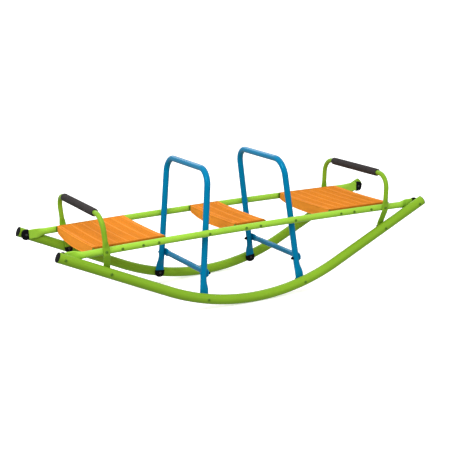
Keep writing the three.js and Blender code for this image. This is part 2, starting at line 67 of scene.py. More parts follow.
HOOP_R = 12 * MM
HOOP_RAIL_X = 183 * MM
HOOP_LEAN = 0.1033
HOOP_SPLAY = 0.0258
HOOP_TOP_Z = 518 * MM
HOOP_BEND = 62 * MM
HOOP_PRESS = (24 * MM, 68 * MM)  # above the foot bolt, the leg goes from flat to round
BRACE_R = 11 * MM
BRACE_Z = 133 * MM
BRACE_OVERHANG = 7 * MM  # past each leg's centre
BRACE_PRESS = (-46 * MM, -18 * MM)  # from the leg's centre, where the brace goes from round to flat

HANDLE_R = 9.5 * MM
HANDLE_RAIL_X = 592 * MM
HANDLE_FOOT_X = 584 * MM
HANDLE_TOP_X = 602 * MM
HANDLE_TOP_Z = 415 * MM
HANDLE_BEND = 56 * MM
HANDLE_PRESS = (12 * MM, 42 * MM)  # above the side rail, the leg goes from flat to round
HANDLE_KNEE_RISE = 14 * MM  # the leg is straight up to here above its foot bolt
HANDLE_KNEE_IN = 0.8 * MM  # and leans outwards by this much on each side of the bolt
HANDLE_KNEE_R = 18 * MM
GRIP_R = 15.5 * MM
GRIP_LENGTH = 326 * MM
GRIP_GAP = 0.35 * MM  # between the foam and the tube, and kept inside the frame's grip

CAP_WALL = 1.5 * MM
CAP_MOUTH = 10 * MM
HANDLE_CAP_MOUTH = 6 * MM
CAP_TIP = 18 * MM
PADDLE_TIP = 13 * MM

CLOTH = 1.2 * MM
SLEEVE_ABOVE_RAIL = 3.5 * MM
SLEEVE_BELOW_CENTRE = 9 * MM
UPPER_SAG = 3.5 * MM
LOWER_SAG = 12 * MM
LOWER_FLARE = 7 * MM  # how far the lower layer's cut edges stand out past the upper's
STRIP_THICKNESS = 2.8 * MM
STRIP_HEIGHT = 20 * MM
STRIP_REACH = 6 * MM  # past each cut edge of the sleeve
STRIP_INSET = 3.1 * MM  # from the sleeve's outer face to the strip's middle
END_SEAT_X = (354 * MM, 626 * MM)
MIDDLE_SEAT_X = (-62 * MM, 62 * MM)
SEAM_PITCH = 41.5 * MM
END_STUDS_X = (388 * MM, 449 * MM, 529 * MM, HANDLE_RAIL_X)
MIDDLE_STUDS_X = (-30.5 * MM, 30.5 * MM)

PADDLE_Y = ROCKER_Y - ROCKER_R - 2 * GAP - CAP_WALL - FLAT / 2
RAIL_Y = PADDLE_Y - FLAT / 2 + RAIL_R
RAIL_INNER_Y = RAIL_Y - RAIL_R
RAIL_OUTER_Y = RAIL_Y + RAIL_R
HOOP_RAIL_Y = RAIL_INNER_Y - 3 * GAP - HOOP_R
HANDLE_LEG_Y = RAIL_OUTER_Y + GAP + FLAT / 2
ARC_HALF = ROCKER_RADIUS * math.sin(ROCKER_SLOPE)
ARC_RISE = ROCKER_RADIUS * (1 - math.cos(ROCKER_SLOPE))


def rail_z(x):
    return RAIL_MID_Z - RAIL_BOW * x * x


def rocker_z(x):
    far = abs(x)
    if far > ARC_HALF:
        return ROCKER_R + ARC_RISE + (far - ARC_HALF) * math.tan(ROCKER_SLOPE)
    return ROCKER_R + ROCKER_RADIUS - math.sqrt(ROCKER_RADIUS**2 - far**2)


HOOP_RAIL_Z = rail_z(HOOP_RAIL_X)


def hoop_leg(z):
    """Centre line of the hoop leg on the +X, +Y side at height z."""
    up = z - HOOP_RAIL_Z
    return Vector((HOOP_RAIL_X - HOOP_LEAN * up, HOOP_RAIL_Y - HOOP_SPLAY * up, z))


def hoop_foot_x():
    x = HOOP_RAIL_X
    for _ in range(20):
        x = hoop_leg(rocker_z(x)).x
    return x


HOOP_FOOT_X = hoop_foot_x()
HOOP_FOOT_Z = rocker_z(HOOP_FOOT_X)
HOOP_FOOT_OFFSET = PADDLE_Y - hoop_leg(HOOP_FOOT_Z).y
LEG_UP = Vector((-HOOP_LEAN, -HOOP_SPLAY, 1)).normalized()
BRACED_LEG = hoop_leg(BRACE_Z)


def towards_brace(end):
    """The direction from a hoop's leg to its brace."""
    return Vector((1, 0, end * HOOP_LEAN)).normalized()


# Materials


class Shader:
    """A node material under construction."""

    def __init__(self, name):
        self.material = bpy.data.materials.new(name)
        self.material.use_nodes = True
        self.tree = self.material.node_tree
        self.surface = self.tree.nodes["Principled BSDF"]

    def node(self, kind, **settings):
        made = self.tree.nodes.new(kind)
        for key, value in settings.items():
            if key in made.inputs:
                made.inputs[key].default_value = value
            else:
                setattr(made, key, value)
        return made

    def link(self, output, target):
        self.tree.links.new(output, target)

    def put(self, socket, value):
        """Connects an output to an input, or sets the input to a number or colour."""
        if isinstance(value, bpy.types.NodeSocket):
            self.link(value, socket)
        else:
            socket.default_value = value

    def set(self, name, value):
        """Sets or connects one input of the surface."""
        self.put(self.surface.inputs[name], value)

    def math(self, operation, a, b=0.0, c=0.0):
        made = self.node("ShaderNodeMath", operation=operation)
        for socket, value in zip(made.inputs, (a, b, c), strict=True):
            self.put(socket, value)
        return made.outputs[0]

    def mix(self, amount, low, high):
        made = self.node("ShaderNodeMix", data_type="RGBA")
        self.put(made.inputs[0], amount)
        self.put(made.inputs[6], low)
        self.put(made.inputs[7], high)
        return made.outputs[2]

    def noise(self, scale, detail, where=None, stretch=(1, 1, 1)):
        """Noise over where, a vector output, or over the object's own coordinates."""
        if where is None:
            where = self.node("ShaderNodeTexCoord").outputs["Object"]
        mapping = self.node("ShaderNodeMapping")
        mapping.inputs["Scale"].default_value = stretch
        self.link(where, mapping.inputs["Vector"])
        made = self.node("ShaderNodeTexNoise", Scale=scale, Detail=detail)
        self.link(mapping.outputs[0], made.inputs["Vector"])
        return made.outputs["Fac"]

    def ramp(self, value, low, high):
        """value stretched so that low goes to 0 and high goes to 1."""
        made = self.node("ShaderNodeMapRange", clamp=True)
        self.put(made.inputs["Value"], value)
        made.inputs["From Min"].default_value = low
        made.inputs["From Max"].default_value = high
        return made.outputs["Result"]

    def bump(self, height, distance, strength):
        made = self.node("ShaderNodeBump", Strength=strength, Distance=distance)
        self.link(height, made.inputs["Height"])
        self.link(made.outputs[0], self.surface.inputs["Normal"])


def tint(color, factor):
    return (*(min(1.0, c * factor) for c in color), 1.0)


def powder_coat(name, color, roughness, specular=0.3, gloss=(1, 1, 1)):
    """Gloss coating on steel: orange peel, faint colour drift and a few dull rubbed patches. gloss tints its
    reflections."""
    shader = Shader(name)
    drift = shader.noise(5.0, 4.0)
    rubbed = shader.ramp(shader.noise(24.0, 6.0), 0.56, 0.74)
    fine = shader.noise(420.0, 2.0)
    body = shader.mix(shader.ramp(drift, 0.3, 0.7), tint(color, 0.92), tint(color, 1.06))
    body = shader.mix(shader.math("MULTIPLY", rubbed, 0.2), body, tint(color, 0.78))
    shader.set("Base Color", body)
    rough = shader.math("MULTIPLY_ADD", rubbed, 0.16, roughness)
    shader.set("Roughness", rough)
    shader.set("Specular IOR Level", specular)
    shader.set("Specular Tint", (*gloss, 1))
    shader.bump(fine, 0.25 * MM, 0.35)
    return shader.material


def moulded_plastic(name, color, roughness):
    shader = Shader(name)
    grain = shader.noise(1500.0, 2.0)
    smudge = shader.ramp(shader.noise(60.0, 5.0), 0.35, 0.7)
    body = shader.mix(smudge, tint(color, 0.85), tint(color, 1.25))
    shader.set("Base Color", body)
    shader.set("Roughness", shader.math("MULTIPLY_ADD", smudge, 0.15, roughness))
    shader.set("Specular IOR Level", 0.05)
    shader.bump(grain, 0.15 * MM, 0.5)
    return shader.material


def closed_cell_foam(name, color):
    """Soft grey-black sleeve: small open pores over a slow mottling."""
    shader = Shader(name)
    where = shader.node("ShaderNodeTexCoord").outputs["Object"]
    pores = shader.node("ShaderNodeTexVoronoi", Scale=620.0)
    shader.link(where, pores.inputs["Vector"])
    pore = shader.ramp(pores.outputs["Distance"], 0.12, 0.5)
    mottle = shader.ramp(shader.noise(70.0, 5.0), 0.3, 0.7)
    body = shader.mix(mottle, tint(color, 0.8), tint(color, 1.25))
    # Painted shade: the pores, which the bump sinks, are darkened
    body = shader.mix(pore, tint(color, 0.45), body)
    shader.set("Base Color", body)
    shader.set("Roughness", 0.9)
    shader.set("Specular IOR Level", 0.18)
    height = shader.math("MULTIPLY_ADD", pore, 0.6, shader.noise(240.0, 4.0))
    shader.bump(height, 0.4 * MM, 0.7)
    return shader.material


def woven(name, color, pitch):
    """Plain weave in the sheet's own flat coordinates, in metres, with darker streaks, uneven dye, painted
    shade in the thread hollows and painted highlights on the folds.
    """
    shader = Shader(name)
    flat = shader.node("ShaderNodeUVMap", uv_map="flat").outputs[0]
    parts = shader.node("ShaderNodeSeparateXYZ")
    shader.link(flat, parts.inputs[0])
    turns = math.pi / pitch
    waves = [shader.math("SINE", shader.math("MULTIPLY", parts.outputs[k], turns)) for k in (0, 1)]
    warp, weft = (shader.math("ABSOLUTE", wave) for wave in waves)
    checks = shader.node("ShaderNodeTexChecker", Scale=1.0 / pitch)
    checks.inputs["Color1"].default_value = (0, 0, 0, 1)
    checks.inputs["Color2"].default_value = (1, 1, 1, 1)
    shader.link(flat, checks.inputs["Vector"])
    over = checks.outputs["Fac"]
    under = shader.math("SUBTRACT", 1.0, over)
    height = shader.math("MULTIPLY_ADD", warp, over, shader.math("MULTIPLY", weft, under))
    stretches = ((420.0, 9.0, 1.0), (55.0, 3.5, 1.0))
    streaks = [shader.ramp(shader.noise(1.0, 4.0, flat, stretch), 0.32, 0.68) for stretch in stretches]
    dye = shader.ramp(shader.noise(9.0, 4.0), 0.3, 0.7)
    body = shader.mix(dye, tint(color, 0.93), tint(color, 1.05))
    body = shader.mix(streaks[0], shader.mix(0.4, body, tint(color, 0.78)), body)
    body = shader.mix(streaks[1], shader.mix(0.6, body, tint(color, 0.76)), body)
    # Painted shade: the hollows between the threads are darkened
    body = shader.mix(shader.ramp(height, 0.0, 0.6), tint(color, 0.6), body)
    # The second UV map carries painted light: its first channel paints highlights, its second paints shade
    painted_light_uv = shader.node("ShaderNodeSeparateXYZ")
    shader.link(shader.node("ShaderNodeUVMap", uv_map="painted_light_uv").outputs[0], painted_light_uv.inputs[0])
    # Painted shade along the cloth's sides, where it turns over the strips and down beside the rails
    body = shader.mix(shader.math("MULTIPLY", painted_light_uv.outputs[1], 0.6), body, tint(color, 0.3))
    # Painted highlight: seams, hem edges and welts, and the paler end panels
    pale = (min(1.0, color[0] * 1.18), color[1] * 1.35, color[2] * 3.5, 1.0)
    body = shader.mix(shader.math("MULTIPLY", painted_light_uv.outputs[0], 0.8), body, pale)
    shader.set("Base Color", body)
    shader.set("Roughness", 0.72)
    shader.set("Specular IOR Level", 0.06)
    shader.bump(height, 0.3 * MM, 0.6)
    # Thin cloth: part of the light that falls on one face leaves from the other
    glow = shader.node("ShaderNodeBsdfTranslucent")
    shader.link(body, glow.inputs["Color"])
    blend = shader.node("ShaderNodeMixShader")
    blend.inputs[0].default_value = 0.14
    shader.link(shader.surface.outputs[0], blend.inputs[1])
    shader.link(glow.outputs[0], blend.inputs[2])
    shader.link(blend.outputs[0], shader.tree.nodes["Material Output"].inputs["Surface"])
    return shader.material


def thread(name, color):
    shader = Shader(name)
    twist = shader.noise(900.0, 2.0, stretch=(1, 0.3, 1))
    shader.set("Base Color", shader.mix(twist, tint(color, 0.8), tint(color, 1.1)))
    shader.set("Roughness", 0.7)
    shader.bump(twist, 0.2 * MM, 0.5)
    return shader.material


GREEN = (0.205, 0.385, 0.022)
# Painted light: the side rails get a lighter copy of the same green coat, for the brighter light on them
RAIL_LIT_GREEN = (0.30, 0.56, 0.045)
BLUE = (0.0, 0.175, 0.355)
ORANGE = (0.90, 0.275, 0.012)

green_coat = powder_coat("green_powder_coat", GREEN, 0.25, specular=0.15, gloss=(0.7, 1, 0.25))
rail_lit_coat = powder_coat("rail_green_coat_painted_light", RAIL_LIT_GREEN, 0.25, specular=0.2, gloss=(0.8, 1, 0.4))
bolt_coat = powder_coat("green_bolt_coat", (0.09, 0.20, 0.012), 0.4, specular=0.15)
blue_coat = powder_coat("blue_powder_coat", BLUE, 0.17, specular=0.3, gloss=(0.12, 0.75, 1))
black_plastic = moulded_plastic("black_moulded_plastic", (0.004, 0.004, 0.005), 0.42)
dark_steel = powder_coat("blackened_steel", (0.03, 0.03, 0.032), 0.4)
foam = closed_cell_foam("grip_foam", (0.034, 0.029, 0.029))
fabric = woven("orange_woven_cloth", ORANGE, 1.1 * MM)
stitch_thread = thread("orange_thread", (0.85, 0.34, 0.06))


# Mesh helpers


def added(name, data):
    """A new object in the scene."""
    made = bpy.data.objects.new(name, data)
    scene.collection.objects.link(made)
    return made


def piece(name, verts, faces, material, slot, replaces=(), sharp=math.radians(38)):
    """A smooth-shaded piece on the seesaw's one body."""
    mesh = bpy.data.meshes.new(name)
    mesh.from_pydata([tuple(v) for v in verts], [], [tuple(int(i) for i in f) for f in faces])
    mesh.materials.append(material)
    mesh.shade_smooth()
    mesh.set_sharp_from_angle(angle=sharp)
    made = added(name, mesh)
    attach(made, "root")
    if replaces:
        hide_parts(*replaces)
    return made


def join(*meshes):
    """Several (verts, faces) as one."""
    verts, faces = [], []
    for some_verts, some_faces in meshes:
        start = len(verts)
        verts.extend(Vector(v) for v in some_verts)
        faces.extend([i + start for i in face] for face in some_faces)
    return verts, faces


def placed(mesh, matrix):
    verts, faces = mesh
    return [matrix @ Vector(v) for v in verts], faces


def frame_at(at, z_axis, x_hint=Vector((1, 0, 0))):
    """A matrix that takes local Z to z_axis and puts the origin at a point."""
    z = Vector(z_axis).normalized()
    hint = Vector(x_hint)
    if abs(hint.normalized().dot(z)) > 0.95:
        hint = Vector((0, 0, 1))
    x = (hint - hint.dot(z) * z).normalized()
    y = z.cross(x)
    turn = Matrix((x, y, z)).transposed().to_4x4()
    turn.translation = Vector(at)
    return turn


def around(radius, k, sides):
    """The k-th of sides points on a circle."""
    angle = 2 * math.pi * k / sides
    return radius * math.cos(angle), radius * math.sin(angle)


def turned(profile, sides=32):
    """A surface of revolution about Z from (radius, z) points that start and end on the axis."""
    verts, faces = [], []
    rings = []
    for radius, z in profile:
        if radius < 1e-9:
            rings.append([len(verts)])
            verts.append(Vector((0, 0, z)))
            continue
        rings.append(list(range(len(verts), len(verts) + sides)))
        verts.extend(Vector((*around(radius, i, sides), z)) for i in range(sides))
    for low, high in zip(rings, rings[1:], strict=False):
        for i in range(sides):
            j = (i + 1) % sides
            a, b = low[i % len(low)], low[j % len(low)]
            c, d = high[j % len(high)], high[i % len(high)]
            faces.append([v for k, v in enumerate((a, b, c, d)) if v not in (a, b, c, d)[:k]])
    return verts, faces


def quads(low, high, sides):
    """Faces between two rings of vertices that start at the given numbers."""
    pairs = [(k, (k + 1) % sides) for k in range(sides)]
    return [[low + k, low + n, high + n, high + k] for k, n in pairs]


def taken(body):
    """A bmesh's (verts, faces). The bmesh is freed."""
    body.verts.index_update()
    verts = [v.co.copy() for v in body.verts]
    faces = [[v.index for v in f.verts] for f in body.faces]
    body.free()
    return verts, faces


def run_along(line):
    """How far along a line of points each of them lies."""
    return np.concatenate([[0], np.cumsum(np.linalg.norm(np.diff(line, axis=0), axis=1))])


def smoothstep(low, high, value):
    t = min(1.0, max(0.0, (value - low) / (high - low)))
    return t * t * (3 - 2 * t)


def route(corners, step=5 * MM):
    """Closely spaced points along straight runs, with each (point, radius) corner turned as an arc."""
    points = []

    def run_to(target):
        start = points[-1]
        count = max(1, round((target - start).length / step))
        points.extend(start.lerp(target, k / count) for k in range(1, count + 1))

    points.append(Vector(corners[0][0]))
    for i in range(1, len(corners) - 1):
        at, radius = Vector(corners[i][0]), corners[i][1]
        back = (Vector(corners[i - 1][0]) - at).normalized()
        ahead = (Vector(corners[i + 1][0]) - at).normalized()
        half = back.angle(ahead) / 2
        reach = radius / math.tan(half)
        run_to(at + back * reach)
        centre = at + (back + ahead).normalized() * (radius / math.sin(half))
        turn = math.pi - 2 * half
        axis = ahead.cross(back).normalized()
        arm = points[-1] - centre
        count = max(4, math.ceil(turn * radius / step))
        for k in range(1, count + 1):
            points.append(centre + Matrix.Rotation(turn * k / count, 3, axis) @ arm)
    run_to(Vector(corners[-1][0]))
    return points


def pressed_point(angle, radius, amount):
    """A point of a round section, moved as the tube is pressed flat by amount. It keeps its perimeter."""
    u, v = radius * math.cos(angle), radius * math.sin(angle)
    half = FLAT / 2
    straight = math.pi * (radius - half) / 2
    turned_by = math.atan2(abs(v), abs(u)) / (math.pi / 2)
    along = turned_by * (math.pi * half / 2 + straight)
    bend = min(math.pi / 2, along / half)
    rest = max(0.0, along - math.pi * half / 2)
    flat_u = math.copysign(straight - rest + half * math.cos(bend), u)
    flat_v = math.copysign(half * math.sin(bend), v)
    return u + (flat_u - u) * amount, v + (flat_v - v) * amount


TIP_WIDTH = 0.62  # of a pressed end's full width, at its very end


def tube(points, radius, normal, flat=None, offset=0.0, sides=48, tip=None):
    """A tube along points. flat(point) is how far it is pressed along normal, 0 to 1, and offset is where
    the pressed part goes that way. tip rounds the corners of its cut ends over that length."""
    thin = Vector(normal)
    lengths = [0.0]
    for a, b in zip(points, points[1:], strict=False):
        lengths.append(lengths[-1] + (b - a).length)
    verts = []
    last = len(points) - 1
    for i, at in enumerate(points):
        tangent = (points[min(last, i + 1)] - points[max(0, i - 1)]).normalized()
        thin = (thin - thin.dot(tangent) * tangent).normalized()
        wide = tangent.cross(thin)
        amount = flat(at) if flat else 0.0
        narrow = 1.0
        if tip:
            from_end = min(lengths[i], lengths[-1] - lengths[i])
            narrow = TIP_WIDTH + (1 - TIP_WIDTH) * math.sin(min(1.0, from_end / tip) * math.pi / 2)
        for k in range(sides):
            u, v = pressed_point(2 * math.pi * (k + 0.5) / sides, radius, amount)
            verts.append(at + wide * (u * narrow) + thin * (v + offset * amount))
    faces = [list(range(sides))[::-1], [last * sides + k for k in range(sides)]]
    for i in range(last):
        faces.extend(quads(i * sides, (i + 1) * sides, sides))
    return verts, faces


def rounded_block(half_x, half_y, half_z, bevel):
    """A closed bar with rounded edges, centred on the origin."""
    body = bmesh.new()
    bmesh.ops.create_cube(body, size=2)
    bmesh.ops.scale(body, vec=(half_x, half_y, half_z), verts=body.verts)
    bmesh.ops.bevel(body, geom=body.edges[:], offset=bevel, segments=3, affect="EDGES", profile=0.5)
    return taken(body)


# Rocker rails

for side_name, side in SIDES:
    y = side * ROCKER_Y
    arc = [
        Vector((ROCKER_RADIUS * math.sin(a), y, ROCKER_R + ROCKER_RADIUS * (1 - math.cos(a))))
        for a in np.linspace(-ROCKER_SLOPE, ROCKER_SLOPE, 81)
    ]
    tip_x = ROCKER_TIP_X - TIP_TRIM
    tips = [Vector((end * tip_x, y, rocker_z(tip_x))) for end in (-1, 1)]
    shares = np.linspace(0, 1, 30)[:-1]
    left_run = [tips[0].lerp(arc[0], t) for t in shares]
    right_run = [tips[1].lerp(arc[-1], t) for t in shares]
    points = left_run + arc + right_run[::-1]
    piece(
        f"rocker_{side_name}",
        *tube(points, ROCKER_R, (0, 1, 0), sides=64),
        green_coat,
        "green_steel",
        [f"rocker_rail_{side_name}"],
    )
    for end_name, end in ENDS:
        outwards = Vector((end * math.cos(ROCKER_SLOPE), 0, math.sin(ROCKER_SLOPE)))
        rim = ROCKER_R
        profile = [
            (0, 0.3 * MM),
            (rim - 0.6 * MM, 0.3 * MM),
            (rim, 0.9 * MM),
            (rim, 1.5 * MM),
            (rim - 0.5 * MM, 2.1 * MM),
            (rim - 2.2 * MM, 2.4 * MM),
            (rim - 3.2 * MM, 2.2 * MM),
            (rim - 5.5 * MM, 2.35 * MM),
            (rim - 10 * MM, 2.6 * MM),
            (0, 2.7 * MM),
        ]
        plug = placed(turned(profile, 56), frame_at(tips[(end + 1) // 2], outwards))
        where = f"{side_name}_{end_name}"
        node = f"rocker_end_plug_{where}"
        piece(f"end_plug_{where}", *plug, black_plastic, "black_plastic", [node])


# Caps on the pressed ends


def paddle_half_width(radius):
    return math.pi * (radius - FLAT / 2) / 2 + FLAT / 2


def paddle_cap(name, centre, up, radius, mouth_x=CAP_MOUTH):
    """A black moulded cap with a round end and an open mouth, wrapped round a pressed tube end."""
    half = paddle_half_width(radius) + GAP + CAP_WALL
    centre_x = -4 * MM
    outline = [(mouth_x, -half), (mouth_x, half)]
    for k in range(25):
        angle = math.pi * k / 24
        outline.append((centre_x - (CAP_TIP + centre_x) * math.sin(angle), half * math.cos(angle)))
    half_thick = FLAT / 2 + GAP + CAP_WALL
    body = bmesh.new()
    low = [body.verts.new((x, y, -half_thick)) for x, y in outline]
    bottom = body.faces.new(low)
    made = bmesh.ops.extrude_face_region(body, geom=[bottom])
    top = [g for g in made["geom"] if isinstance(g, bmesh.types.BMVert)]
    bmesh.ops.translate(body, verts=top, vec=(0, 0, 2 * half_thick))
    bmesh.ops.recalc_face_normals(body, faces=body.faces[:])
    mouth = next(f for f in body.faces if f.normal.x > 0.9)
    rim = [e for e in body.edges if abs(e.calc_face_angle(0)) > 1.0 and mouth not in e.link_faces]
    bmesh.ops.bevel(body, geom=rim, offset=1.3 * MM, segments=4, affect="EDGES", profile=0.5)
    mouth = next(f for f in body.faces if f.normal.x > 0.9)
    bmesh.ops.inset_region(body, faces=[mouth], thickness=CAP_WALL * 0.95, depth=0)
    pocket = bmesh.ops.extrude_discrete_faces(body, faces=[mouth])["faces"][0]
    bmesh.ops.translate(body, verts=pocket.verts[:], vec=(-mouth_x - 4 * MM, 0, 0))
    bmesh.ops.recalc_face_normals(body, faces=body.faces[:])
    x = Vector(up).normalized()
    z = Vector((0, 1, 0))
    z = (z - z.dot(x) * x).normalized()
    turn = Matrix((x, z.cross(x), z)).transposed().to_4x4()
    turn.translation = centre
    return piece(name, *placed(taken(body), turn), black_plastic, "black_plastic", [name])


for where, side, end in CORNERS:
    rail_end = Vector((end * RAIL_BOLT_X, side * PADDLE_Y, rail_z(RAIL_BOLT_X)))
    paddle_cap(f"side_rail_cap_{where}", rail_end, (-end, 0, 2 * RAIL_BOW * RAIL_BOLT_X), RAIL_R)
    handle_foot = Vector((end * HANDLE_FOOT_X, side * PADDLE_Y, rocker_z(HANDLE_FOOT_X)))
    handle_up = (end * HANDLE_KNEE_IN, 0, HANDLE_KNEE_RISE)
    paddle_cap(f"handle_cap_{where}", handle_foot, handle_up, HANDLE_R, HANDLE_CAP_MOUTH)
    hoop_foot = Vector((end * HOOP_FOOT_X, side * PADDLE_Y, HOOP_FOOT_Z))
    up = (end * LEG_UP.x, side * LEG_UP.y, LEG_UP.z)
    paddle_cap(f"hoop_cap_{where}", hoop_foot, up, HOOP_R)


# Side rails

for side_name, side in SIDES:
    tip_x = RAIL_BOLT_X + PADDLE_TIP
    xs = np.concatenate(
        [
            np.linspace(-tip_x, -RAIL_FLARE[0], 40),
            np.linspace(-RAIL_FLARE[0], RAIL_FLARE[0], 90)[1:-1],
            np.linspace(RAIL_FLARE[0], tip_x, 40),
        ]
    )
    points = [Vector((x, side * RAIL_Y, rail_z(x))) for x in xs]
    body = tube(
        points,
        RAIL_R,
        (0, -side, 0),
        flat=lambda p: smoothstep(*RAIL_FLARE, abs(p.x)),
        offset=RAIL_R - FLAT / 2,
        tip=7 * MM,
    )
    piece(f"rail_{side_name}", *body, rail_lit_coat, "green_steel", [f"side_rail_{side_name}"])


# Handles and foam grips

for end_name, end in ENDS:

    def at(x, y, z, end=end):
        return Vector((end * x, y, z))

    foot_z = rocker_z(HANDLE_FOOT_X)
    cross_z = rail_z(HANDLE_RAIL_X)
    leg = [
        (at(HANDLE_FOOT_X - HANDLE_KNEE_IN, -PADDLE_Y, foot_z - PADDLE_TIP), 0),
        (at(HANDLE_FOOT_X + HANDLE_KNEE_IN, -PADDLE_Y, foot_z + HANDLE_KNEE_RISE), HANDLE_KNEE_R),
        (at(HANDLE_RAIL_X - 1 * MM, -HANDLE_LEG_Y, cross_z - 11 * MM), HANDLE_KNEE_R),
        (at(HANDLE_TOP_X, -HANDLE_LEG_Y, HANDLE_TOP_Z), HANDLE_BEND),
    ]
    other = [(Vector((p.x, -p.y, p.z)), r) for p, r in reversed(leg)]
    body = tube(
        route(leg + other, 3 * MM),
        HANDLE_R,
        (0, -1, 0),
        flat=lambda p, z=cross_z: 1 - smoothstep(*HANDLE_PRESS, p.z - z),
        sides=40,
        tip=7 * MM,
    )
    piece(f"end_handle_{end_name}", *body, green_coat, "green_steel", [f"handle_{end_name}"])

    sides = 48
    stations = 90
    verts, faces = [], []
    for i in range(stations + 1):
        y = (i / stations - 0.5) * (GRIP_LENGTH - 1.0 * MM)
        from_end = min(i, stations - i) / stations * GRIP_LENGTH
        soft = 1 - 0.10 * math.exp(-((from_end / (2.2 * MM)) ** 2)) - 0.02 * math.exp(-from_end / (12 * MM))
        for k in range(sides):
            angle = 2 * math.pi * k / sides
            lump = noise.noise(Vector((math.cos(angle) * 1.3, y * 26, math.sin(angle) * 1.3 + end)))
            x, z = around((GRIP_R - GRIP_GAP) * soft + 0.28 * MM * lump, k, sides)
            verts.append(at(HANDLE_TOP_X + x, y, HANDLE_TOP_Z + z))
    for i in range(stations):
        faces.extend(quads(i * sides, (i + 1) * sides, sides))
    for i, turn in ((0, -1), (stations, 1)):
        y = verts[i * sides].y
        faces.extend(quad[::turn] for quad in quads(i * sides, len(verts), sides))
        for k in range(sides):
            x, z = around(HANDLE_R + GRIP_GAP, k, sides)
            verts.append(at(HANDLE_TOP_X + x, y, HANDLE_TOP_Z + z))
    inner = len(verts) - 2 * sides
    faces.extend(quad[::-1] for quad in quads(inner, inner + sides, sides))
    grip = piece(
        f"foam_sleeve_{end_name}",
        verts,
        faces,
        foam,
        "grip_foam",
        [f"foam_grip_{end_name}"],
        sharp=math.radians(60),
    )


# Hoops and cross braces

for end_name, end in ENDS:
    foot = hoop_leg(HOOP_FOOT_Z - PADDLE_TIP * LEG_UP.z)
    top = hoop_leg(HOOP_TOP_Z)
    corners = [
        (Vector((end * foot.x, -foot.y, foot.z)), 0),
        (Vector((end * top.x, -top.y, HOOP_TOP_Z)), HOOP_BEND),
        (Vector((end * top.x, top.y, HOOP_TOP_Z)), HOOP_BEND),
        (Vector((end * foot.x, foot.y, foot.z)), 0),
    ]
    body = tube(
        route(corners, 4 * MM),
        HOOP_R,
        (0, -1, 0),
        flat=lambda p: 1 - smoothstep(*HOOP_PRESS, p.z - HOOP_FOOT_Z),
        offset=HOOP_FOOT_OFFSET,
        tip=7 * MM,
    )
    piece(f"blue_hoop_{end_name}", *body, blue_coat, "blue_steel", [f"hoop_{end_name}"])

    away = towards_brace(end)
    middle = Vector((end * BRACED_LEG.x, 0, BRACE_Z)) + away * (HOOP_R + GAP + FLAT / 2)
    reach = BRACED_LEG.y + BRACE_OVERHANG
    points = [middle + Vector((0, y, 0)) for y in np.linspace(-reach, reach, 120)]
    body = tube(
        points,
        BRACE_R,
        away,
        flat=lambda p: smoothstep(*BRACE_PRESS, abs(p.y) - BRACED_LEG.y),
        sides=40,
        tip=9 * MM,
    )
    piece(f"brace_{end_name}", *body, blue_coat, "blue_steel", [f"cross_brace_{end_name}"])


# Bolts

SHANK_R = 2.9 * MM


def socket_head(radius=5.4 * MM, height=3.1 * MM):
    """A domed head with a hexagon socket, standing on z = 0."""
    sides = 24
    outside = [
        (radius * 0.97, 0.0),
        (radius, 0.35 * MM),
        (radius * 0.97, height * 0.42),
        (radius * 0.84, height * 0.74),
        (radius * 0.64, height * 0.93),
        (radius * 0.5, height),
    ]
    rings = [[point] * sides for point in outside]
    socket = []
    for k in range(sides):
        within = (k % 4) / 4 * math.pi / 3 - math.pi / 6
        socket.append(1.9 * MM / math.cos(within))
    rings.append([(r, height - 0.15 * MM) for r in socket])
    rings.append([(r * 0.96, height - 1.7 * MM) for r in socket])
    verts, faces = [], []
    for ring in rings:
        verts.extend(Vector((*around(r, k, sides), z)) for k, (r, z) in enumerate(ring))
    for i in range(len(rings) - 1):
        faces.extend(quads(i * sides, (i + 1) * sides, sides))
    faces.append(list(range(sides))[::-1])
    faces.append([(len(rings) - 1) * sides + k for k in range(sides)])
    return verts, faces


def hexagon(radius, height, bevel):
    """A six-sided nut's body with eased edges, standing on z = 0."""
    body = bmesh.new()
    bmesh.ops.create_cone(body, cap_ends=True, segments=6, radius1=radius, radius2=radius, depth=height)
    bmesh.ops.translate(body, verts=body.verts, vec=(0, 0, height / 2))
    bmesh.ops.bevel(body, geom=body.edges[:], offset=bevel, segments=2, affect="EDGES", profile=0.5)
    return taken(body)


def lock_nut(radius=5.3 * MM, height=4.8 * MM):
    """A hexagonal nut with a rounded collar and the bolt's end in it, standing on z = 0."""
    collar = [
        (0, height * 0.5),
        (radius * 0.8, height * 0.5),
        (radius * 0.8, height * 0.86),
        (radius * 0.7, height),
        (0.6 * radius, height),
        (0.56 * radius, height * 0.8),
        (0, height * 0.8),
    ]
    bolt_end = [
        (0, height * 0.6),
        (SHANK_R, height * 0.6),
        (SHANK_R, height * 0.93),
        (2.4 * MM, height),
        (0, height),
    ]
    return join(hexagon(radius, height * 0.68, 0.35 * MM), turned(collar, 24), turned(bolt_end, 20))


def cap_nut(radius=6.2 * MM, height=10 * MM):
    """A black acorn nut: a hexagon with a dome."""
    dome = [(0, height * 0.3), (radius * 0.84, height * 0.3)]
    for k in range(9):
        angle = math.pi / 2 * k / 8
        dome.append((radius * 0.84 * math.cos(angle), height * (0.5 + 0.5 * math.sin(angle))))
    dome[-1] = (0, height)
    return join(hexagon(radius, height * 0.45, 0.4 * MM), turned(dome, 28))


def shank(from_point, to_point):
    along = Vector(to_point) - Vector(from_point)
    body = turned([(0, 0), (SHANK_R, 0), (SHANK_R, along.length), (0, along.length)], 16)
    return placed(body, frame_at(from_point, along))


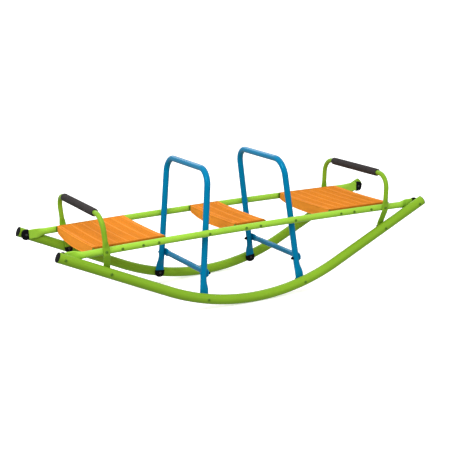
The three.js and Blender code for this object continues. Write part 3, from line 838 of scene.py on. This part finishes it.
def bolt(name, head_at, nut_at, head_material, slot, nut=lock_nut, nut_material=dark_steel):
    """A bolt, its head at one point and its nut at the other, in place of the frame's bolt node."""
    head_at, nut_at = Vector(head_at), Vector(nut_at)
    head = placed(socket_head(), frame_at(head_at, head_at - nut_at))
    made = piece(name, *join(head, shank(head_at, nut_at)), head_material, slot, [name])
    piece(f"{name}_nut", *placed(nut(), frame_at(nut_at, nut_at - head_at)), nut_material, "black_nut")
    return made


for where, side, end in CORNERS:
    rocker_face = side * (ROCKER_Y + ROCKER_R)
    cap_face = side * (PADDLE_Y - FLAT / 2 - GAP - CAP_WALL)
    for kind, x in (
        ("rail_end_bolt", RAIL_BOLT_X),
        ("handle_foot_bolt", HANDLE_FOOT_X),
        ("hoop_foot_bolt", HOOP_FOOT_X),
    ):
        head_at = (end * x, rocker_face, rocker_z(x))
        bolt(f"{kind}_{where}", head_at, (end * x, cap_face, rocker_z(x)), bolt_coat, "bolt_steel")
    bolt(
        f"hoop_rail_bolt_{where}",
        (end * HOOP_RAIL_X, side * RAIL_OUTER_Y, HOOP_RAIL_Z),
        (end * HOOP_RAIL_X, side * (HOOP_RAIL_Y - HOOP_R), HOOP_RAIL_Z),
        bolt_coat,
        "bolt_steel",
        nut_material=blue_coat,
    )
    away = towards_brace(end)
    centre = Vector((end * BRACED_LEG.x, side * BRACED_LEG.y, BRACE_Z))
    leg_side = centre - away * HOOP_R
    brace_side = centre + away * (HOOP_R + GAP + FLAT)
    head_at, nut_at = (leg_side, brace_side) if end < 0 else (brace_side, leg_side)
    bolt(f"brace_bolt_{where}", head_at, nut_at, blue_coat, "black_nut", cap_nut, black_plastic)


# Seats: fabric sleeves stretched between studded strips

SLEEVE_Y = RAIL_INNER_Y - GAP
CLOTH_Y = SLEEVE_Y - CLOTH / 2  # the cloth's middle, beside the rail
UPPER_Z = RAIL_R + SLEEVE_ABOVE_RAIL - CLOTH / 2
LOWER_Z = -SLEEVE_BELOW_CENTRE + CLOTH / 2
TURN_RADIUS = 2.4 * MM
LAYER_Y = CLOTH_Y - TURN_RADIUS  # where each layer leaves the strip's edge
STRIP_Y = SLEEVE_Y - STRIP_INSET
STRIP_Z = (RAIL_R + SLEEVE_ABOVE_RAIL - SLEEVE_BELOW_CENTRE) / 2
HEM_WIDTH = 13 * MM  # double cloth along each cut edge
FLARE_REACH = 45 * MM  # how far in from each cut edge the lower layer's flare starts
COLUMN = 2.6 * MM
CLOSEST = 0.35 * MM  # columns of vertices are further apart than this
ROW = 7 * MM
SEAM_RISE = 1.1 * MM
PANEL_CLOTH = 1.2 * MM
PANEL_PAINTED_LIGHT = 0.7  # painted light: the panels are painted a little paler than the seat, 0 to 1
WELT_R = 1.5 * MM  # the rolled binding round a sleeve's ends
SEAM_HALF_WIDTH = 3.6 * MM
STITCH = 2.7 * MM
STITCH_PITCH = 3.7 * MM


def seat_turn(middle, y=0.0):
    """The matrix that puts a seat's own frame on the rails, along their slope at its middle."""
    pitch = math.atan(2 * RAIL_BOW * middle)
    return Matrix.Translation((middle, y, rail_z(middle))) @ Matrix.Rotation(pitch, 4, "Y")


def cloth_maps(made, flat, painted_light_uv):
    """Writes a cloth piece's two UV maps, each from a function of the vertex number."""
    flat_map = made.data.uv_layers.new(name="flat")
    painted_light_map = made.data.uv_layers.new(name="painted_light_uv")
    for k, loop in enumerate(made.data.loops):
        flat_map.data[k].uv = flat(loop.vertex_index)
        painted_light_map.data[k].uv = painted_light_uv(loop.vertex_index)


def layer_grid(length, level, sag, seed, lump):
    """Points of one layer of the sleeve as it was cut, x by y."""
    nx, ny = round(length / (6 * MM)), round(2 * LAYER_Y / ROW)
    xs = np.linspace(-length / 2, length / 2, nx + 1)
    ys = np.linspace(-LAYER_Y, LAYER_Y, ny + 1)
    grid = np.zeros((nx + 1, ny + 1, 3))
    for i, x in enumerate(xs):
        for j, y in enumerate(ys):
            held = 1 - (y / LAYER_Y) ** 2
            bump = noise.noise(Vector((x * 48 + seed, y * 6, seed)))
            grid[i, j] = (x, y, level - sag * held + lump * bump * min(1.0, 3 * held))
    return grid


def simulate(grid, spare, limit):
    """The layer after it settles. It is cut spare times too long in X and drawn together between its held
    sides, so it wrinkles. No point strays more than limit from where the grid has it."""
    nx, ny = grid.shape[0] - 1, grid.shape[1] - 1
    faces = []
    for i in range(nx):
        for j in range(ny):
            a = i * (ny + 1) + j
            faces.append((a, a + ny + 1, a + ny + 2, a + 1))
    points = grid.reshape(-1, 3)
    mesh = bpy.data.meshes.new("layer_simulation")
    mesh.from_pydata([(x * spare, y, z) for x, y, z in points], [], faces)
    cloth = added("layer_simulation", mesh)
    cloth.shape_key_add(name="cut")
    drawn = cloth.shape_key_add(name="drawn")
    for i, point in enumerate(drawn.data):
        point.co.x = points[i][0]
    for number, value in ((1, 0.0), (14, 1.0)):
        drawn.value = value
        drawn.keyframe_insert("value", frame=number)
    held = cloth.vertex_groups.new(name="held")
    held.add([i * (ny + 1) + j for i in range(nx + 1) for j in (0, ny)], 1.0, "REPLACE")
    modifier = cloth.modifiers.new("Cloth", "CLOTH")
    settings = modifier.settings
    settings.vertex_group_mass = "held"
    settings.quality = 7
    settings.mass = 0.1
    settings.tension_stiffness = settings.compression_stiffness = 50
    settings.shear_stiffness = 12
    settings.bending_stiffness = 0.1
    settings.tension_damping = settings.compression_damping = settings.shear_damping = 20
    settings.air_damping = 4
    modifier.collision_settings.use_collision = False
    modifier.point_cache.frame_start = 1
    modifier.point_cache.frame_end = 32
    for number in range(1, 33):
        scene.frame_set(number)
    settled = cloth.evaluated_get(bpy.context.evaluated_depsgraph_get()).to_mesh()
    result = np.array([v.co[:] for v in settled.vertices]).reshape(grid.shape)
    bpy.data.objects.remove(cloth)
    scene.frame_set(1)
    return grid + np.clip(result - grid, -limit, limit)


def between_rows(grid, fractions):
    """Rows of a grid read at fractional row numbers, with a smooth cubic."""
    last = len(grid) - 1
    rows = []
    for f in fractions:
        i = min(int(f), last - 1)
        t = f - i
        p0, p1, p2, p3 = (grid[min(last, max(0, i + k))] for k in (-1, 0, 1, 2))
        if i == 0:
            p0 = 2 * p1 - p2
        if i + 1 == last:
            p3 = 2 * p2 - p1
        square = 2 * p0 - 5 * p1 + 4 * p2 - p3
        cube = 3 * p1 - p0 - 3 * p2 + p3
        rows.append(0.5 * (2 * p1 + (p2 - p0) * t + square * t**2 + cube * t**3))
    return np.array(rows)


def wall_points():
    """(y, z) from the upper layer's +Y side, round the strip and down the rail's face, to the lower's."""
    turn = np.linspace(0, math.pi / 2, 6)
    r = TURN_RADIUS
    over = [(LAYER_Y + r * math.sin(a), UPPER_Z - r * (1 - math.cos(a))) for a in turn[1:]]
    under = [(LAYER_Y + r * math.cos(a), LOWER_Z + r * (1 - math.sin(a))) for a in turn[:-1]]
    face = [(CLOTH_Y, z) for z in np.linspace(UPPER_Z - TURN_RADIUS, LOWER_Z + TURN_RADIUS, 6)[1:-1]]
    return over + face + under


def stitch(a, b):
    """One visible thread between two holes, (verts, faces)."""
    along = Vector(b) - Vector(a)
    profile = [(0, 0), (0.32 * MM, 0.3 * MM), (0.32 * MM, along.length - 0.3 * MM), (0, along.length)]
    return placed(turned(profile, 5), frame_at(Vector(a), along))


def end_panel(name, upper_edge, lower_edge, outwards, turn):
    """The cloth panel that closes a sleeve's end, with a welt along its upper and lower edge."""
    rows = 9
    spans = np.linspace(0, 1, rows)
    height = np.linalg.norm(upper_edge - lower_edge, axis=1)
    run = run_along(upper_edge)
    pairs = list(zip(upper_edge, lower_edge, strict=True))
    middle = np.array([[upper * (1 - t) + lower * t for t in spans] for upper, lower in pairs])
    pull = noise.noise(Vector((0, outwards, 3.7)))
    for j, t in enumerate(spans):
        crown = math.sin(math.pi * t)
        for i, along in enumerate(run):
            pucker = noise.noise(Vector((along * 26, t * 1.1, outwards * 4.4 + pull)))
            middle[i, j, 0] += outwards * crown * (1.1 * MM + 1.0 * MM * pucker)
    half = Vector((outwards * PANEL_CLOTH / 2, 0, 0))
    verts = [Vector(p) + side * half for side in (1, -1) for row in middle for p in row]
    size = len(run) * rows
    faces = []
    for i in range(len(run) - 1):
        for j in range(rows - 1):
            a = i * rows + j
            quad = [a, a + 1, a + rows + 1, a + rows]
            quad = quad if outwards < 0 else quad[::-1]
            faces.append(quad)
            faces.append([v + size for v in reversed(quad)])
    border = [i * rows for i in range(len(run))]
    border += [(len(run) - 1) * rows + j for j in range(1, rows)]
    border += [i * rows + rows - 1 for i in reversed(range(len(run) - 1))]
    border += list(range(rows - 2, 0, -1))
    for a, b in zip(border, border[1:] + border[:1], strict=True):
        quad = [a, b, b + size, a + size]
        faces.append(quad if outwards < 0 else quad[::-1])
    panel = piece(name, [turn @ v for v in verts], faces, fabric, "orange_fabric", sharp=math.radians(60))

    def panel_flat(number):
        i, j = divmod(number % size, rows)
        return spans[j] * height[i], run[i]

    # Painted light: the end panels are painted paler than the seat
    cloth_maps(panel, panel_flat, lambda number: (PANEL_PAINTED_LIGHT, 0))
    welts = []
    for edge, lift in ((upper_edge, WELT_R * 0.4), (lower_edge, -WELT_R * 0.2)):
        line = [Vector(p) + Vector((outwards * WELT_R * 0.5, 0, lift)) for p in edge]
        welts.append(tube(line, WELT_R, (1, 0, 0), sides=10, tip=3 * MM))
    verts, faces = join(*welts)
    binding = piece(f"{name}_welts", [turn @ v for v in verts], faces, fabric, "orange_fabric")
    # Painted highlight: the welts get the full paler tone
    cloth_maps(binding, lambda number: binding.data.vertices[number].co.xy, lambda number: (1, 0))


def sleeve(name, from_x, to_x, seams, seed):
    length = to_x - from_x
    middle = (from_x + to_x) / 2
    upper = layer_grid(length, UPPER_Z, UPPER_SAG, seed, 0.5 * MM)
    lower = layer_grid(length, LOWER_Z, LOWER_SAG, seed + 5, 0.8 * MM)
    upper = simulate(upper, 1.012, 2 * MM)
    lower = simulate(lower, 1.02, 3.5 * MM)
    plain = np.arange(COLUMN, length - COLUMN / 2, COLUMN)
    steps = {0.0, 0.7 * MM, length - 0.7 * MM, length, *plain}
    for seam in seams:
        steps.update(seam - middle + length / 2 + d * MM for d in (-4.2, -3.2, -2.2, 2.2, 3.2, 4.2))
    for fold in (HEM_WIDTH - 0.8 * MM, HEM_WIDTH):
        steps.update((fold, length - fold))
    columns = [0.0]
    for step in sorted(steps):
        if CLOSEST < step - columns[-1] and (step == length or length - step > CLOSEST):
            columns.append(step)
    columns = np.array(columns)
    fractions = columns / length * (upper.shape[0] - 1)
    upper, lower = between_rows(upper, fractions), between_rows(lower, fractions)

    for i, column in enumerate(columns):
        for j in range(lower.shape[1]):
            held = 1 - (lower[i, j, 1] / LAYER_Y) ** 2
            lower[i, j, 0] += LOWER_FLARE * held * (
                smoothstep(length - FLARE_REACH, length, column) - smoothstep(-FLARE_REACH, 0, -column)
            )

    wall = wall_points()
    rows = []
    for i, column in enumerate(columns):
        x = column - length / 2
        right = [(x, y, z) for y, z in wall]
        left = [(x, -y, z) for y, z in reversed(wall)]
        rows.append([*map(tuple, upper[i]), *right, *map(tuple, lower[i][::-1]), *left])
    surface = np.array(rows)
    count_x, count_v = surface.shape[:2]
    across = upper.shape[1]
    ring = np.concatenate([surface[count_x // 2], surface[count_x // 2][:1]])
    run = run_along(ring)

    du = np.gradient(surface, axis=0)
    dv = np.roll(surface, -1, axis=1) - np.roll(surface, 1, axis=1)
    outward = np.cross(du, dv)
    outward /= np.linalg.norm(outward, axis=2)[:, :, None]
    if outward[count_x // 2, across // 2, 2] < 0:
        outward = -outward
    edge = np.minimum(columns, length - columns)
    in_hem = edge < HEM_WIDTH - 0.4 * MM
    offsets = np.array([min(abs(c - length / 2 + middle - seam) for seam in seams) for c in columns])
    ridge = np.clip(1 - (offsets / SEAM_HALF_WIDTH) ** 4, 0, 1)
    # A ridge fades out before the strips, where the cloth is pressed to the rail
    reach = np.array([1.0 if k < across else 0.0 for k in range(count_v)])
    for k in range(3):
        reach[[k, across - 1 - k]] = k / 3
    wander = np.array([0.7 + 0.45 * noise.noise(Vector((k * 0.11, seed, 2.0))) for k in range(count_v)])
    rise = SEAM_RISE * ridge[:, None] * (reach * wander)[None, :]
    # A hem is folded inwards, so it thickens that way, apart from a slight lift
    top = surface + outward * (CLOTH / 2 + rise + np.where(in_hem, 0.15 * MM, 0)[:, None])[:, :, None]
    inner_reach = np.ones(count_v)
    inner_reach[across : across + len(wall)] = inner_reach[count_v - len(wall) :] = 0
    hem_depth = np.where(in_hem, 0.9 * MM, 0)[:, None] * inner_reach[None, :]
    low = surface - outward * (CLOTH / 2 + hem_depth)[:, :, None]

    turn = seat_turn(middle)
    verts = [turn @ Vector(p) for layer in (top, low) for row in layer for p in row]
    size = count_x * count_v

    def number(layer, i, j):
        return layer * size + i * count_v + j % count_v

    faces = []
    for j in range(count_v):
        for i in range(count_x - 1):
            outer = [number(0, i, j), number(0, i + 1, j), number(0, i + 1, j + 1), number(0, i, j + 1)]
            faces.append(outer)
            faces.append([v + size for v in reversed(outer)])
        for i, flip in ((0, False), (count_x - 1, True)):
            quad = [number(0, i, j), number(0, i, j + 1), number(1, i, j + 1), number(1, i, j)]
            faces.append(quad[::-1] if flip else quad)
    body = piece(
        f"sleeve_{name}",
        verts,
        faces,
        fabric,
        "orange_fabric",
        [f"seat_{name}"],
        sharp=math.radians(55),
    )
    # Painted highlight: the cloth is painted paler towards each cut edge
    edge_highlight = np.clip(1 - edge / (5 * MM), 0, 1) ** 0.5
    # Painted shade: the cloth is painted darkest where it turns over the strips and down beside the rails
    wrapped = np.array([0.0 if 0 < k < across - 1 else 1.0 for k in range(count_v)])
    wrapped[across + len(wall) : count_v - len(wall)] = 0

    def body_flat(number):
        i, j = divmod(number % size, count_v)
        return columns[i], run[j]

    def body_painted_light(number):
        i, j = divmod(number % size, count_v)
        # Painted highlight on the seam ridges and cut edges, painted shade on the wrapped sides
        return max(ridge[i] * reach[j] * wander[j], edge_highlight[i] * reach[j]), wrapped[j]

    cloth_maps(body, body_flat, body_painted_light)

    for side_name, i, outwards in (("left", 0, -1), ("right", -1, 1)):
        upper_edge = surface[i, 1 : across - 1]
        lower_edge = surface[i, across + len(wall) + 1 : count_v - len(wall) - 1][::-1]
        end_panel(f"end_panel_{name}_{side_name}", upper_edge, lower_edge, outwards, turn)

    threads = []

    def sew(line):
        """Stitches along a line of points just above the cloth."""
        lengths = run_along(line)
        for start in np.arange(1 * MM, lengths[-1] - STITCH, STITCH_PITCH):
            ends = [[np.interp(s, lengths, line[:, k]) for k in range(3)] for s in (start, start + STITCH)]
            threads.append(stitch(*ends))

    def across_line(column, part, lift):
        f = np.interp(column, columns, np.arange(count_x))
        return between_rows(top + outward * lift, [f])[0][part]

    upper_part = slice(2, across - 2)
    lower_part = slice(across + len(wall) + 2, count_v - len(wall) - 2)
    for part in (upper_part, lower_part):
        for inset in (HEM_WIDTH - 2 * MM, HEM_WIDTH - 5 * MM):
            for column in (inset, length - inset):
                sew(across_line(column, part, 0.1 * MM))
    for seam in seams:
        for beside in (-2.4 * MM, 2.4 * MM):
            sew(across_line(seam - middle + length / 2 + beside, upper_part, 0.1 * MM))
    verts, faces = join(*threads)
    sewing = piece(f"stitching_{name}", [turn @ v for v in verts], faces, stitch_thread, "orange_fabric")


def studded_strip(name, from_x, to_x, studs):
    """The steel strip inside each side of a sleeve, with the bolts that hold it to the rail."""
    length = to_x - from_x + 2 * STRIP_REACH
    middle = (from_x + to_x) / 2
    for side_name, side in SIDES:
        strip = rounded_block(length / 2, STRIP_THICKNESS / 2, STRIP_HEIGHT / 2, 0.8 * MM)
        turn = seat_turn(middle, side * STRIP_Y) @ Matrix.Translation((0, 0, STRIP_Z))
        parts = [placed(strip, turn)]
        for x in studs:
            outer = HANDLE_LEG_Y + FLAT / 2 if abs(abs(x) - HANDLE_RAIL_X) < MM else RAIL_OUTER_Y
            head_at = Vector((x, side * outer, rail_z(x)))
            parts.append(placed(socket_head(), frame_at(head_at, (0, side, 0))))
            parts.append(shank((x, side * STRIP_Y, rail_z(x)), head_at))
        node = f"seat_{name}_studs_{side_name}"
        piece(node, *join(*parts), bolt_coat, "bolt_steel", [node])


end_seams = [490 * MM + SEAM_PITCH * k for k in range(-3, 4)]
SEATS = (
    ("left", -END_SEAT_X[1], -END_SEAT_X[0], [-x for x in END_STUDS_X], [-x for x in end_seams], 3.1),
    ("middle", *MIDDLE_SEAT_X, MIDDLE_STUDS_X, [-SEAM_PITCH, 0, SEAM_PITCH], 7.4),
    ("right", *END_SEAT_X, END_STUDS_X, end_seams, 12.8),
)
for seat_name, from_x, to_x, studs, seams, seed in SEATS:
    sleeve(seat_name, from_x, to_x, seams, seed)
    studded_strip(seat_name, from_x, to_x, studs)


# Floor, light and camera

floor_shader = Shader("pale_floor")
floor_shader.set("Roughness", 0.9)
floor_shader.set("Specular IOR Level", 0.0)
speckle = floor_shader.ramp(floor_shader.noise(3.0, 5.0), 0.3, 0.7)
pale = floor_shader.mix(speckle, (0.86, 0.86, 0.86, 1), (0.88, 0.88, 0.88, 1))
floor_shader.set("Base Color", pale)
floor_shader.set("Emission Color", pale)
floor_shader.set("Emission Strength", 0.6)
floor_mesh = bpy.data.meshes.new("floor")
floor_mesh.from_pydata([(-60, -60, 0), (60, -60, 0), (60, 90, 0), (-60, 90, 0)], [], [(0, 1, 2, 3)])
floor_mesh.materials.append(floor_shader.material)
floor = added("floor", floor_mesh)
floor.visible_glossy = False
floor.visible_diffuse = False

# A studio sky, brightest overhead and dimmest at and below the horizon
SKY_STRENGTH = 1.27
world = bpy.data.worlds.new("studio")
world.use_nodes = True
sky = world.node_tree
direction = sky.nodes.new("ShaderNodeTexCoord")
split = sky.nodes.new("ShaderNodeSeparateXYZ")
ramp = sky.nodes.new("ShaderNodeMapRange")
ramp.inputs["To Min"].default_value = 0.42 * SKY_STRENGTH
ramp.inputs["To Max"].default_value = SKY_STRENGTH
sky.links.new(direction.outputs["Generated"], split.inputs[0])
sky.links.new(split.outputs[2], ramp.inputs["Value"])
sky.links.new(ramp.outputs["Result"], sky.nodes["Background"].inputs["Strength"])
sky.nodes["Background"].inputs["Color"].default_value = (1, 1, 1, 1)
scene.world = world
scene.view_settings.view_transform = "Standard"


def softbox(name, at, target, size, power):
    light = bpy.data.lights.new(name, "AREA")
    light.shape = "RECTANGLE"
    light.size, light.size_y = size
    light.energy = power
    made = added(name, light)
    made.location = at
    made.rotation_euler = (Vector(target) - Vector(at)).to_track_quat("-Z", "Y").to_euler()


centre = (0, 0, 0.25)
softbox("key", (-2.3, -1.7, 2.7), centre, (1.5, 1.5), 76)
softbox("fill", (1.2, -3.2, 1.0), centre, (2.4, 1.6), 17)
softbox("back", (0.6, 3.0, 2.4), centre, (3.0, 1.2), 20)

CAMERA_AZIMUTH = -26.69  # degrees, from a view along +Y
CAMERA_ELEVATION = 13.64
CAMERA_ROLL = -2.13
CAMERA_DISTANCE = 4.505
CAMERA_TARGET = Vector((-0.009, 0, 0.245))
a, e = math.radians(CAMERA_AZIMUTH), math.radians(CAMERA_ELEVATION)
back = Vector((math.sin(a) * math.cos(e), -math.cos(a) * math.cos(e), math.sin(e)))
lens = bpy.data.cameras.new("camera")
lens.sensor_width = 36
lens.lens = 91.9
lens.shift_x = 0.001
lens.shift_y = 0.0048
lens.clip_end = 300
camera = added("camera", lens)
camera.location = CAMERA_TARGET + back * CAMERA_DISTANCE
aim = (-back).to_track_quat("-Z", "Y").to_matrix() @ Matrix.Rotation(math.radians(CAMERA_ROLL), 3, "Z")
camera.rotation_euler = aim.to_euler()
scene.camera = camera
